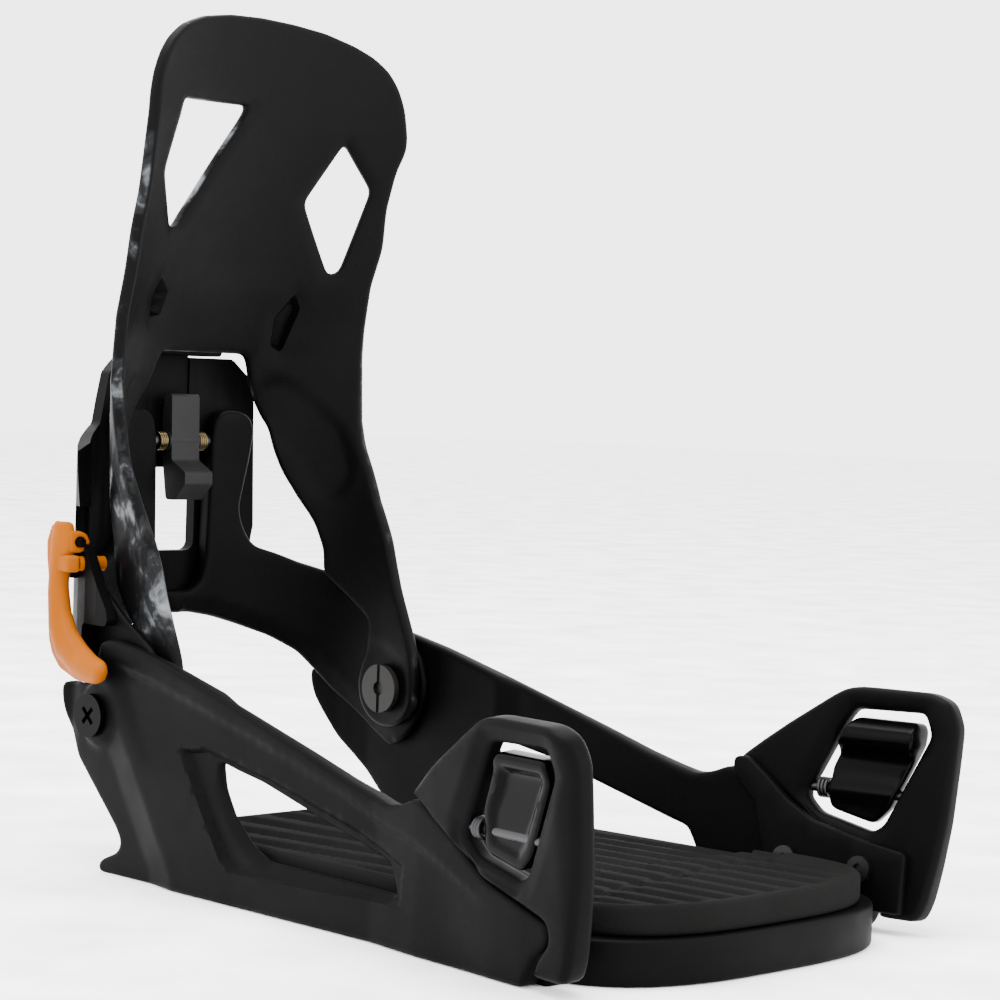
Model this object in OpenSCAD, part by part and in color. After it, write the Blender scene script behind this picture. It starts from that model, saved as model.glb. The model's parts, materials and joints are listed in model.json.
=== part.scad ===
// Step-in snowboard binding for a right foot.
// The origin is the centre of the mounting disc on the plane of the board.
// +X is the inner side of the foot, +Y the heel and +Z up.

/* [Floor] */
// Thickness of the floor plate
floor_h = 6; // [5:0.5:7]
// Rear end of the floor plate, behind the disc centre
floor_rear = 100; // [92:1:104]
// Radius of the mounting disc
disc_r = 43; // [41:0.5:44]
// Spacing of the board bolts, both ways
bolt_gap = 40; // [38:0.5:42]
// Width of a bolt slot
slot_w = 6.5; // [6.3:0.1:7]
// Length of a bolt slot, end to end
slot_l = 16; // [12:1:18]

/* [Side walls] */
// Outer half width of the base at the heel
heel_half = 56.3; // [56:0.1:57]
// Outer half width of the base at the low point of its rails
waist_half = 62; // [61:0.5:63]
// Height of the rail at its low point
valley_z = 37; // [35:1:38]
// Height of the rail beside the highback hinge
rail_z = 68; // [66:1:69]

/* [Toe] */
// Front end of the toe ramp, in front of the disc centre
toe_front = 101; // [99:1:103]
// Height of the plastic ramp under the front footbed
ramp_h = 12; // [11:0.5:13]
// Thickness of the front footbed
front_pad_h = 8; // [6:0.5:9]
// Thickness of the rear footbed
rear_pad_h = 11; // [9:0.5:12]
// Thickness of a toe hook
hook_t = 8; // [7:0.5:9]
// Angle at which a toe hook spreads towards the toe
hook_splay = 8; // [7:0.5:9]
// Angle at which a toe hook leans outwards
hook_lean = 6; // [5:0.5:7]
// Radius of the pin that a toe catch turns on
catch_pin_r = 1.5; // [1.4:0.1:1.8]

/* [Heel] */
// Inner half width of the heel hoop
hoop_half = 49.6; // [49.6:0.1:50]
// Depth of the hoop's curve behind its straight arms
hoop_depth = 39.5; // [38:0.5:40]
// Height of the hoop's saddle behind the heel
saddle_z = 94; // [92:1:95]
// Height of the two prongs beside the heel latch
prong_z = 137.5; // [134:0.5:138]
// Height of the tower behind the latch
tower_z = 153.5; // [152:0.5:154]

/* [Highback] */
// Distance of the hinge behind the disc centre
hinge_y = 102; // [101:0.5:103]
// Height of the hinge
hinge_z = 51; // [50:0.5:52]
// Thickness of the highback
back_t = 4.5; // [4:0.1:4.6]
// Height of the highback at its middle
back_top = 257; // [250:1:258]
// Slope of the highback's top edge, higher on the outer side
back_cant = 6.5; // [0:0.5:8]
// Radius of the highback's pivot pins
pivot_r = 4; // [3.5:0.1:4.5]

/* [Hidden] */
$fn = 48;
fit = 0.05;
gap = 0.3;
arm_y = 110;
hoop_t = 3;
hoop_back_t = 6.5;
ledge_r = disc_r - 6;
hook_y = -31;
hook_x = 64.1;
lever_angle = -10;

// ---- outlines ----

// Unit vector from a to b.
function unit(a, b) = (b - a) / norm(b - a);

// The arc that rounds corner b, between its neighbours a and c, with n chords.
function corner(a, b, c, r, n = 5) =
    let (u = unit(b, a), v = unit(b, c), half = acos(u * v) / 2,
        reach = min(r / tan(half), 0.48 * norm(a - b), 0.48 * norm(c - b)),
        rr = reach * tan(half), mid = b + unit([0, 0], u + v) * rr / sin(half),
        p = b + u * reach, q = b + v * reach)
    [for (i = [0:n]) let (d = (p - mid) * (1 - i / n) + (q - mid) * i / n)
        mid + d / norm(d) * rr];

// A closed outline with every corner rounded by radius r.
function rounded(pts, r) = let (n = len(pts))
    [for (i = [0:n - 1]) each corner(pts[(i + n - 1) % n], pts[i], pts[(i + 1) % n], r)];

// An outline drawn in Y and Z, made solid between two places on X.
module across(x0, x1, pts) {
    translate([x0, 0, 0])
        rotate([90, 0, 90]) linear_extrude(x1 - x0) polygon(pts);
}

// An outline drawn in X and Z, made solid between two places on Y.
module along(y0, y1, pts) {
    translate([0, y1, 0]) rotate([90, 0, 0]) linear_extrude(y1 - y0) polygon(pts);
}

// A round bar along X.
module bar_x(x0, x1, y, z, r) {
    translate([x0, y, z]) rotate([0, 90, 0]) cylinder(r = r, h = x1 - x0);
}

// A round bar along Y.
module bar_y(y0, y1, x, z, r) {
    translate([x, y1, z]) rotate([90, 0, 0]) cylinder(r = r, h = y1 - y0);
}

// The same piece on both sides of the foot.
module both_sides() {
    children();
    mirror([1, 0, 0]) children();
}

// Half of a rounded heel curve in plan: points from the +X side round to the -X side.
function heel_curve(a, b, p = 2.4) = [for (t = [0:7.5:180])
    [a * sign(cos(t)) * pow(abs(cos(t)), 2 / p), arm_y + b * pow(sin(t), 2 / p)]];

// A U of the hoop's kind in plan, with arms from front_y.
function u_curve(a, b, front_y) = concat([[a, front_y]], heel_curve(a, b), [[-a, front_y]]);

// ---- base ----

function wall_x(y) = lookup(y, [[-95, 72], [-75, 70.5], [-31, 65.4], [-11, waist_half],
    [65, 58.5], [118, heel_half + 0.2], [130, heel_half - 0.7], [140, heel_half - 3.3]]);
function wall_in(y) = lookup(y, [[-95, 65], [-75, 63.2], [-31, 59], [-11, 56.2], [52, 55],
    [60, 52.8], [118, 52.8], [124, 51.7], [130, 50], [136, 47.4], [140, 45.4]]);

module wall_plan() {
    ys = [-95, -75, -31, -11, 20, 52, 60, 65, 95, 118, 124, 130, 136, 140];
    polygon(concat([for (y = ys) [wall_x(y), y]],
        [for (i = [len(ys) - 1:-1:0]) [wall_in(ys[i]), ys[i]]]));
}

rail = rounded([[-85, 17.4], [-74, 20.6], [-60, 24.6], [-46, 33.5], [-32.5, 41], [-29, 41],
    [-20, valley_z], [17, 47], [58, 58], [84, 65], [111, rail_z + 2], [115, rail_z + 2],
    [121, 55], [139.5, 54.8], [139.5, 50], [136, 41], [130.5, 32.5], [118, 22.5], [109, 14],
    [105.8, 9.8], [108, 6.6], [117, 3.2], [118, 0], [-75.5, 0], [-79.5, 8], [-85, 12]], 3);
wall_window = rounded([[-20, 13.5], [-16, 21.5], [40, 36], [60, 39.5], [58, 32], [51, 24], [44, 18],
    [36, 14.5]], 3);

module side_wall() {
    intersection() {
        across(46, 75, rail);
        linear_extrude(90) wall_plan();
    }
}

floor_half = 54;
function floor_outline(rear, half) = concat(
    [[wall_in(-78) + 0.5, -78], [wall_in(-31) + 0.5, -31], [wall_in(-11) + 0.5, -11],
        [wall_in(52) + 0.4, 52], [half - 1, 60]],
    [for (t = [0:15:180]) [(half - 1) * cos(t), rear - 26 + 26 * sin(t)]],
    [[-half + 1, 60], [-wall_in(52) - 0.4, 52], [-wall_in(-11) - 0.5, -11],
        [-wall_in(-31) - 0.5, -31], [-wall_in(-78) - 0.5, -78]]);

module baseplate() {
    color("#202022") difference() {
        union() {
            both_sides() side_wall();
            linear_extrude(floor_h) polygon(floor_outline(floor_rear, floor_half));
        }
        translate([0, 0, 2.6]) cylinder(r = disc_r + 0.4, h = 10, $fn = 96);
        translate([0, 0, -1]) cylinder(r = ledge_r + 0.4, h = 10, $fn = 96);
        across(-80, 80, wall_window);
        both_sides() bar_x(50, 60, heel_screw[0], heel_screw[1], 3 + fit);
        both_sides() hook_place() for (p = hook_screw_spots)
            bar_x(-16, hook_hole_end, p[0], p[1], 2.05);
        both_sides() hook_place() across(-hook_t - 4, -hook_t + 0.3, hook_tongue_room);
        both_sides() bar_x(51, 55.5, hinge_y, hinge_z, 6.3);
    }
}

module slot_hole(x, y) {
    for (d = [-1, 1]) translate([x + d * (slot_l - slot_w) / 2, y, -1])
        cylinder(d = slot_w, h = 20);
    translate([x - (slot_l - slot_w) / 2, y - slot_w / 2, -1])
        cube([slot_l - slot_w, slot_w, 20]);
}

module mounting_disc() {
    color("#2b2b2e") difference() {
        union() {
            translate([0, 0, 3]) cylinder(r = disc_r, h = 3.2, $fn = 96);
            translate([0, 0, gap]) cylinder(r = ledge_r, h = 3, $fn = 96);
        }
        for (x = [-1, 1], y = [-1, 1]) slot_hole(x * bolt_gap / 2, y * bolt_gap / 2);
        translate([0, 0, 3.6]) cylinder(r = 9, h = 4);
    }
}

// ---- toe ramp and footbeds ----

// A toe outline: half width a, from a straight rear end to a rounded front.
function toe_curve(a, b, rear) = concat([[a, rear]],
    [for (t = [0:7.5:180]) [a * sign(cos(t)) * pow(abs(cos(t)), 2 / 3),
        -60 - b * pow(sin(t), 2 / 3)]], [[-a, rear]]);

module toe_ramp() {
    color("#18181a") difference() {
        linear_extrude(ramp_h) polygon(toe_curve(59, toe_front - 60, -50));
        translate([-80, -78.4, -1]) cube([160, 40, floor_h + 1.3]);
    }
}

module footbed_front() {
    color("#2a2a2b") translate([0, 0, ramp_h])
        linear_extrude(front_pad_h) polygon(toe_curve(54.4, toe_front - 62, -44.3));
}

module footbed_rear() {
    color("#2a2a2b") difference() {
        translate([0, 0, floor_h]) linear_extrude(rear_pad_h) polygon(rounded([[56.4, -43.5],
            [54.6, 20], [51, 62], [47, 94], [-47, 94], [-51, 62], [-54.6, 20],
            [-56.4, -43.5]], 4));
        translate([0, 0, floor_h - 1]) cylinder(r = disc_r + 1, h = 1.8, $fn = 96);
    }
}

// ---- toe hooks ----

// A toe hook's own frame: Y and Z as on the base, X = 0 on its outer face.
module hook_place() {
    translate([hook_x, hook_y, 0]) rotate([0, hook_lean, hook_splay])
        translate([0, -hook_y, 0]) children();
}

hook_outline = rounded([[-30, 42.6], [-46, 54], [-60, 63.5], [-66, 66.5], [-91, 66.5],
    [-97.5, 64], [-100.5, 57], [-99, 31], [-95, 9], [-92.5, 3.2], [-79.2, 3.2], [-82.6, 9.2],
    [-87.4, 13.2], [-86.8, 18],
    [-75, 21.4], [-60, 25.6], [-46, 34.6]], 2.5);
hook_window = rounded([[-67, 60], [-89, 60.5], [-91.5, 54.5], [-79, 28.5], [-75.5, 26.3],
    [-58, 30.2], [-53.5, 34.5], [-64.5, 56.5]], 2.5);
hook_tongue = rounded([[-86, 12.6], [-86, 22.5], [-75.5, 24.3], [-59, 28], [-50, 33], [-43, 38],
    [-42, 36], [-44.8, 12.6]], 1.5);
hook_tongue_room = [[-90, 11.4], [-90, 30], [-40.5, 42], [-40.5, 11.4]];
hook_screw_spots = [[-52, 16.2], [-76, 16.2]];
hook_hole_end = -3.6;
catch_x = -4;
catch_z = 37;

module toe_hook() {
    hook_place() difference() {
        union() {
            across(-hook_t, 0, hook_outline);
            across(-hook_t - 3, -hook_t, hook_tongue);
        }
        across(-hook_t - 1, 1, hook_window);
        across(-hook_t - 9, -hook_t + 0.01, hook_window);
        for (p = hook_screw_spots) bar_x(-16, hook_hole_end, p[0], p[1], 2.05);
        bar_y(-95, -50, catch_x, catch_z, catch_pin_r + fit / 2);
    }
}

catch_blade = rounded([[-75.5, 28.4], [-80.2, 33], [-89, 52], [-88, 58], [-68, 58], [-61, 43],
    [-60.7, 33], [-62, 31.2]], 1.5);

module toe_catch() {
    hook_place() difference() {
        union() {
            across(catch_x - 1.8, catch_x + 1.8, catch_blade);
            across(-hook_t - 4, catch_x, [[-84, 48], [-85, 54], [-71, 54], [-69, 48]]);
            bar_y(-80.5, -60.7, catch_x, catch_z, 3.4);
        }
        bar_y(-90, -55, catch_x, catch_z, catch_pin_r + fit);
    }
}

module catch_pin() {
    hook_place() bar_y(-94.9, -50.1, catch_x, catch_z, catch_pin_r);
}

// A torsion spring: one turn after another round the pin, each a ring.
module catch_spring() {
    hook_place() for (i = [0:2]) translate([catch_x, -57.5 - i * 1.1, catch_z])
        rotate([90, 0, 0]) rotate_extrude() translate([2.5, 0]) circle(d = 1, $fn = 16);
}

module toe_hook_lateral() { color("#242426") mirror([1, 0, 0]) toe_hook(); }
module toe_hook_medial() { color("#242426") toe_hook(); }
module toe_catch_lateral() { color("#08080a") mirror([1, 0, 0]) toe_catch(); }
module toe_catch_medial() { color("#08080a") toe_catch(); }
module catch_pin_lateral() { color("#9a9a9c") mirror([1, 0, 0]) catch_pin(); }
module catch_pin_medial() { color("#9a9a9c") catch_pin(); }
module catch_spring_lateral() { color("#b0b0b2") mirror([1, 0, 0]) catch_spring(); }
module catch_spring_medial() { color("#b0b0b2") catch_spring(); }

module hook_screws() {
    color("#6a6a6c") both_sides() hook_place() for (p = hook_screw_spots) {
        bar_x(-hook_t - 3, hook_hole_end - 0.4, p[0], p[1], 2);
        difference() {
            bar_x(-hook_t - 5, -hook_t - 3, p[0], p[1], 3.6);
            bar_x(-hook_t - 6, -hook_t - 4, p[0], p[1], 1.5);
        }
    }
}

// ---- heel hoop ----

hoop_side = rounded([[160, saddle_z], [143, saddle_z], [138, 88.5], [125, 85], [108, 74],
    [98, 68], [91, 60.5], [88.5, 52], [91, 42], [98, 34.5], [105, 31.5], [113, 36], [129, 48],
    [139, 60.5], [146, 68], [150, 73], [160, 73]], 2);
prong = rounded([[10.5, 80], [11, 133], [14, prong_z], [21, prong_z], [26, 131], [25, 122],
    [21, 105], [24, 96], [30, 90], [30, 80]], 3);
latch_notch = concat([[10, 160], [9, 92]], [for (t = [0:-15:-180]) [9 * cos(t), 88 + 9 * sin(t)]],
    [[-9, 92], [-10, 160]]);
heel_screw = [118, 46.5];
heel_screw_end = 50.5;
heel_head_r = 6.4;
tower_screw = [19, 85];
latch_y = 152.4;
latch_z = 127;
latch_pin_r = 2;

module hoop_band(top) {
    linear_extrude(top) difference() {
        polygon(u_curve(hoop_half + hoop_t, hoop_depth + hoop_back_t, 80));
        polygon(u_curve(hoop_half, hoop_depth, 79));
    }
}

module heel_hoop() {
    color("#1d1d1f") difference() {
        union() {
            intersection() {
                hoop_band(saddle_z + 2);
                across(-60, 60, hoop_side);
            }
            both_sides() intersection() {
                hoop_band(prong_z + 2);
                along(140, 160, prong);
            }
        }
        along(140, 165, latch_notch);
        both_sides() bar_x(48, 56, hinge_y, hinge_z, pivot_r + fit);
        both_sides() bar_x(heel_screw_end - 0.1, 58, heel_screw[0], heel_screw[1], 3 + fit);
        both_sides() bar_y(145, 160, tower_screw[0], tower_screw[1], 2 + fit);
        bar_x(-18, 18, latch_y, latch_z, latch_pin_r);
    }
}

module hoop_screws() {
    head_x = wall_x(heel_screw[0] - heel_head_r);
    color("#0c0c0d") both_sides() difference() {
        union() {
            bar_x(heel_screw_end, head_x + 0.3, heel_screw[0], heel_screw[1], 3);
            bar_x(head_x, head_x + 2, heel_screw[0], heel_screw[1], heel_head_r);
        }
        for (a = [45, 135]) translate([head_x + 1.6, heel_screw[0], heel_screw[1]])
            rotate([a, 0, 0]) cube([2, 1.4, heel_head_r], center = true);
    }
}

// ---- latch ----

tower_side = rounded([[165, 156], [146, 156], [137, 118], [129, 98], [114, 78],
    [112.8, 73], [128.2, 73], [128.2, 56], [144, 58], [165, 66]], 2);
tower_front = rounded([[-57, 40], [-57, 120], [-34, 132], [-29, 148], [-22, tower_z],
    [22, tower_z], [29, 146], [30, 100], [27, 80], [-10, 76], [-34, 66], [-44, 50]], 3);
tower_window = rounded([[-9.5, 92], [-9.5, 118.5], [9.5, 118.5], [9.5, 92]], 3);
block_half = 6;
dial_z = 127.5;
axle_r = 3;
lever_axis_x = 1;
lever_axis_z = 97;
link_y = 129.5;
link_z = 90.6;
link_r = 2.2;

module latch_tower() {
    color("#1a1a1c") difference() {
        union() {
            difference() {
                intersection() {
                    linear_extrude(160) difference() {
                        polygon(u_curve(hoop_half + hoop_t + 3.7, hoop_depth + hoop_back_t + 4.2, 100));
                        polygon(u_curve(hoop_half + hoop_t + 0.2, hoop_depth + hoop_back_t + 0.2, 99));
                    }
                    across(-60, 60, tower_side);
                    along(90, 170, tower_front);
                }
                lever_place() translate([-3, 128.6, 93.4]) cube([14, 16.4, 14]);
            }
            lever_place() translate([0.6, 133.3, 86]) cube([5, 6.4, 11]);
            lever_place() bar_y(133.3, 139.7, lever_axis_x, lever_axis_z, 3.2);
            bar_y(158, 163.5, 0, dial_z, 8);
        }
        along(140, 175, tower_window);
        translate([-block_half - gap, 140, 139]) cube([2 * (block_half + gap), 30, 20]);
        bar_y(150, 170, 0, dial_z, axle_r);
        both_sides() bar_y(150, 170, tower_screw[0], tower_screw[1], 2 + fit);
        lever_place() bar_y(133, 140, lever_axis_x, lever_axis_z, 1.5);
        lever_place() bar_x(-3, 12, link_y, link_z, link_r + fit);
    }
}

module tower_screws() {
    color("#6a6a6c") both_sides() difference() {
        union() {
            bar_y(150.6, 159.2, tower_screw[0], tower_screw[1], 2);
            bar_y(159.2, 161.4, tower_screw[0], tower_screw[1], 4);
        }
        bar_y(160.2, 162, tower_screw[0], tower_screw[1], 1.6);
    }
}

module heel_latch() {
    color("#5d5e60") difference() {
        union() {
            bar_x(-6, 6, latch_y, latch_z, 3.3);
            across(-5.5, 5.5, rounded([[149.6, 142], [149, 121], [142, 117.5], [142, 113.5],
                [147, 108.5], [151.6, 108.5], [154.6, latch_z], [153.5, 142]], 1.5));
        }
        bar_x(-10, 10, latch_y, latch_z, latch_pin_r + fit);
    }
}

module latch_pin() {
    color("#9a9a9c") bar_x(-17.8, 17.8, latch_y, latch_z, latch_pin_r);
}

// A torsion spring: rings of wire side by side on the latch pin.
module latch_spring() {
    color("#c8a468") for (side = [-1, 1], i = [0:3])
        translate([side * (6.8 + i * 0.75), latch_y, latch_z]) rotate([0, 90, 0])
            rotate_extrude() translate([2.75, 0]) circle(d = 0.7, $fn = 16);
}

// ---- release lever ----

// The lever's own frame: X = 0 on its inner face, turned to lie on the heel's corner.
module lever_place() {
    translate([-58.9, 112, 0]) rotate([0, 0, lever_angle]) translate([0, -112, 0]) children();
}

lever_outline = rounded([[130.5, 104], [137, 101.6], [140, 85.6], [141.3, 72.6], [138.8, 64],
    [134, 59.3], [123, 56.4], [112, 56.2], [106, 58], [105.5, 63.5], [113.3, 65], [120, 67.6],
    [127, 71.5], [131.5, 77], [133, 84], [131.5, 94]], 2);
lever_head = rounded([[129.2, 93], [129.2, 101], [143.8, 101], [143.8, 93]], 1.5);
lever_t = 5.2;

module release_lever() {
    color("#ff8a10") lever_place() difference() {
        union() {
            across(-lever_t, 0, lever_outline);
            across(-lever_t, 0, lever_head);
            for (y = [129.2, 140.2]) {
                bar_y(y, y + 3.6, lever_axis_x, lever_axis_z, 3.4);
                translate([-4, y, lever_axis_z - 3.4]) cube([5, 3.6, 6.8]);
            }
            translate([-4.4, 126.8, link_z - 2.6]) cube([4.4, 8.2, 5.2]);
        }
        translate([-2.6, 132.9, 90]) cube([10, 7.2, 12]);
        bar_y(125, 148, lever_axis_x, lever_axis_z, 1.5 + fit);
    }
}

module lever_pin() {
    color("#111112") lever_place() bar_y(128.4, 145.2, lever_axis_x, lever_axis_z, 1.5);
}

module release_link() {
    color("#f06a08") lever_place() bar_x(0.3, 9, link_y, link_z, link_r);
}

// ---- forward lean adjuster ----

module lean_block() {
    color("#26262a") union() {
        across(-13, 13, rounded([[148.2, 154], [148.2, 163], [151, 166.5], [160, 166.5],
            [160, 154]], 1.5));
        across(-block_half, block_half, [[156.6, 139.5], [156.6, 156], [160, 156], [160, 139.5]]);
    }
}

module lean_axle() {
    color("#9a9a9c") union() {
        bar_y(156.4, 171.4, 0, dial_z, axle_r);
        bar_y(169.2, 171.4, 0, dial_z, 4.6);
    }
}

module lean_dial() {
    color("#202023") difference() {
        union() {
            bar_y(163.9, 169, 0, dial_z, 8);
            along(163.9, 169, rounded([[-3, dial_z - 4], [-3, dial_z + 13], [3, dial_z + 13],
                [3, dial_z - 4]], 1.5));
        }
        bar_y(160, 172, 0, dial_z, axle_r + fit);
    }
}

// ---- highback ----

foot_r = 13;
// The highback's rear line, front edge and half width at a height.
function back_rear(z) = lookup(z, [[60, 151], [110, 155], [135, 153], [155, 147], [175, 138],
    [225, 121], [265, 113]]);
function back_front(z) = lookup(z, [[60, 101], [90, 102], [120, 116], [145, 122], [165, 121],
    [200, 113], [225, 108], [265, 106]]);
function back_half(z) = lookup(z, [[90, 49.2], [120, 51], [225, 51], [265, 48]]);
// Radius of the arc through both edges and the rear line.
function back_r(z) = let (a = back_half(z), s = min(a, back_rear(z) - back_front(z)))
    (a * a + s * s) / (2 * s);

// A point of the shell at height z, u from -1 to 1 across it, a distance inside its outer face.
function back_point(z, u, inset) =
    let (r = back_r(z), yc = back_rear(z) - r, cut = back_front(z) - 16,
        turn = cut > yc ? acos((cut - yc) / r) : 90, arc = r * turn * PI / 180,
        s = abs(u) * (arc + max(0, yc - cut)), a = min(s / r * 180 / PI, turn))
    [sign(u) * (r - inset) * sin(a), yc + (r - inset) * cos(a) - max(0, s - arc), z];

back_z = [36, 60, 90, 102, 114, 126, 138, 150, 162, 174, 190, 206, 225, 245, 265];
back_n = 30;

module back_shell() {
    m = back_n + 1;
    k = len(back_z);
    pts = [for (inset = [0, back_t], z = back_z, i = [0:back_n])
        back_point(z, 2 * i / back_n - 1, inset)];
    function at(face, j, i) = (face * k + j) * m + i;
    polyhedron(points = pts, convexity = 6, faces = concat(
        [for (j = [0:k - 2], i = [0:back_n - 1]) each [
            [at(0, j + 1, i + 1), at(0, j + 1, i), at(0, j, i)],
            [at(0, j, i + 1), at(0, j + 1, i + 1), at(0, j, i)],
            [at(1, j + 1, i), at(1, j + 1, i + 1), at(1, j, i)],
            [at(1, j + 1, i + 1), at(1, j, i + 1), at(1, j, i)]]],
        [for (i = [0:back_n - 1]) each [
            [at(1, 0, i + 1), at(0, 0, i + 1), at(0, 0, i)],
            [at(1, 0, i), at(1, 0, i + 1), at(0, 0, i)],
            [at(1, k - 1, i + 1), at(1, k - 1, i), at(0, k - 1, i)],
            [at(0, k - 1, i + 1), at(1, k - 1, i + 1), at(0, k - 1, i)]]],
        [for (j = [0:k - 2]) each [
            [at(1, j + 1, 0), at(1, j, 0), at(0, j, 0)],
            [at(0, j + 1, 0), at(1, j + 1, 0), at(0, j, 0)],
            [at(1, j + 1, back_n), at(0, j + 1, back_n), at(0, j, back_n)],
            [at(1, j, back_n), at(1, j + 1, back_n), at(0, j, back_n)]]]));
}

back_side = concat([for (t = [180:15:360]) [hinge_y + foot_r * cos(t), hinge_z + foot_r * sin(t)]],
    rounded([[110, 66], [112, 80], [119, 92],
    [135, 104], [175, 114], [175, 270], [106, 270], [107, 235],
        [109, 218], [113, 197], [118, 180], [122, 163], [122, 143], [119, 127], [112, 113],
        [103, 97], [96, 78]], 4));
back_rise = 20 * tan(back_cant);
back_outline = rounded([[-56, 30], [-54, back_top - 8 + back_rise], [-20, back_top + back_rise / 3],
    [20, back_top - back_rise / 3], [54, back_top - 8 - back_rise], [56, 30]], 16);
back_arch = [[44.9, 20], [44.9, 80], [43.4, 92], [41.8, 101], [39, 109], [35, 117],
    [31.5, 125], [31, 134], [25, 139], [20, 146], [19.5, 156]];
outer_window = rounded([[-35, 230], [-5, 230.5], [-26, 193], [-30, 193], [-39.5, 208]], 2.5);
inner_window = rounded([[33, 222], [44.5, 208], [40, 182], [37, 182], [24, 203]], 2.5);

module highback() {
    color("#27272a") difference() {
        intersection() {
            back_shell();
            across(-60, 60, back_side);
            along(60, 180, back_outline);
        }
        along(50, 180, rounded(concat(back_arch, [for (i = [len(back_arch) - 1:-1:0])
            [-back_arch[i][0], back_arch[i][1]]]), 3));
        for (w = [outer_window, inner_window]) along(60, 180, w);
        both_sides() bar_x(40, 52, hinge_y, hinge_z, pivot_r + 1.5);
    }
}

module pivot_bushes() {
    color("#8d8d90") both_sides() difference() {
        bar_x(44.95, 49.15, hinge_y, hinge_z, pivot_r + 1.48);
        bar_x(44, 50, hinge_y, hinge_z, pivot_r + fit);
    }
}

module pivot_pin() {
    color("#55565a") difference() {
        union() {
            bar_x(44, 55.2, hinge_y, hinge_z, pivot_r);
            bar_x(42.4, 44.4, hinge_y, hinge_z, 7.6);
            bar_x(53, 55.2, hinge_y, hinge_z, 6.1);
        }
        bar_x(42, 43.6, hinge_y, hinge_z, 2.2);
        translate([42, hinge_y - 0.7, hinge_z - 8]) cube([1, 1.4, 16]);
    }
}

module pivot_pin_lateral() { mirror([1, 0, 0]) pivot_pin(); }
module pivot_pin_medial() { pivot_pin(); }

baseplate();
mounting_disc();
toe_ramp();
footbed_front();
footbed_rear();
toe_hook_lateral();
toe_hook_medial();
toe_catch_lateral();
toe_catch_medial();
catch_pin_lateral();
catch_pin_medial();
catch_spring_lateral();
catch_spring_medial();
hook_screws();
heel_hoop();
hoop_screws();
highback();
pivot_bushes();
pivot_pin_lateral();
pivot_pin_medial();
latch_tower();
tower_screws();
heel_latch();
latch_pin();
latch_spring();
release_lever();
lever_pin();
release_link();
lean_block();
lean_dial();
lean_axle();
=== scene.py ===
import json
import bpy
import bmesh
import numpy as np
from mathutils import Matrix, Vector, geometry

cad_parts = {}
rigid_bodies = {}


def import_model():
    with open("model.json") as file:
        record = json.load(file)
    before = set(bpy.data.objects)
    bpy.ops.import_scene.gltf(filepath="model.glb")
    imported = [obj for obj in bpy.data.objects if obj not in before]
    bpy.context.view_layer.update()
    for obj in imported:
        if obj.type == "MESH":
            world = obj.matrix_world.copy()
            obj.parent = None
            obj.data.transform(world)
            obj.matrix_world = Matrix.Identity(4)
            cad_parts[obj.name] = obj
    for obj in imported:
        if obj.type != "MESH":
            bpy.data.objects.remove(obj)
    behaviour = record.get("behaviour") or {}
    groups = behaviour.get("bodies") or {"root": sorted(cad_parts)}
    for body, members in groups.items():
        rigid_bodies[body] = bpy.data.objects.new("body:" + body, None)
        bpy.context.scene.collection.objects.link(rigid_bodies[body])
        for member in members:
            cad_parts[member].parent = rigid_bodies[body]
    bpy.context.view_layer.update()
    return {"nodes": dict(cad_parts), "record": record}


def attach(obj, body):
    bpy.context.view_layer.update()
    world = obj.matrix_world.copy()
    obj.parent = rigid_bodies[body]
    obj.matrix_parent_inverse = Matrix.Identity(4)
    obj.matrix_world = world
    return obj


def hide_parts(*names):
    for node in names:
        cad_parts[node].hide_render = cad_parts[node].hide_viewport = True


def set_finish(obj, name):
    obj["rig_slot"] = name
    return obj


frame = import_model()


# ---------------------------------------------------------------------------
# The highback is a curved nylon panel that the boot's calf leans on. It stands
# on two legs that run down inside the heel hoop to the hinge pins.
# ---------------------------------------------------------------------------
MM = 0.001


def resample(loop, step):
    """Points evenly spaced along a closed loop."""
    closed = np.vstack([loop, loop[:1]])
    run = np.concatenate([[0], np.cumsum(np.linalg.norm(np.diff(closed, axis=0), axis=1))])
    count = max(8, int(round(run[-1] / step)))
    at = np.arange(count) * run[-1] / count
    return np.column_stack([np.interp(at, run, closed[:, 0]), np.interp(at, run, closed[:, 1])])


def soft_loop(corners, soft=1.5, step=1.2):
    """A closed outline with soft corners: the polygon averaged along its own length with a bell curve."""
    fine = resample(np.array(corners, float), 0.3)
    reach = np.fft.fftfreq(len(fine)) * 2 * np.pi / 0.3
    bell = np.exp(-0.5 * (reach * soft) ** 2)
    wave = np.fft.fft(fine[:, 0] + 1j * fine[:, 1]) * bell
    back = np.fft.ifft(wave)
    return resample(np.column_stack([back.real, back.imag]), step)


def inwards(loop):
    """Unit normals of a closed loop that point to its inside."""
    along = np.roll(loop, -1, 0) - np.roll(loop, 1, 0)
    along /= np.linalg.norm(along, axis=1)[:, None] + 1e-12
    area = np.sum(loop[:, 0] * np.roll(loop[:, 1], -1) - np.roll(loop[:, 0], -1) * loop[:, 1])
    return np.column_stack([-along[:, 1], along[:, 0]]) * np.sign(area)


def inside(points, loop):
    """Which points lie inside a closed loop, by counting the edges to one side of each."""
    a, b = loop, np.roll(loop, -1, 0)
    x, y = points[:, :1], points[:, 1:]
    spans = (a[:, 1] > y) != (b[:, 1] > y)
    cross = a[:, 0] + (y - a[:, 1]) * (b[:, 0] - a[:, 0]) / (b[:, 1] - a[:, 1] + 1e-12)
    return (spans & (x < cross)).sum(1) % 2 == 1


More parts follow.
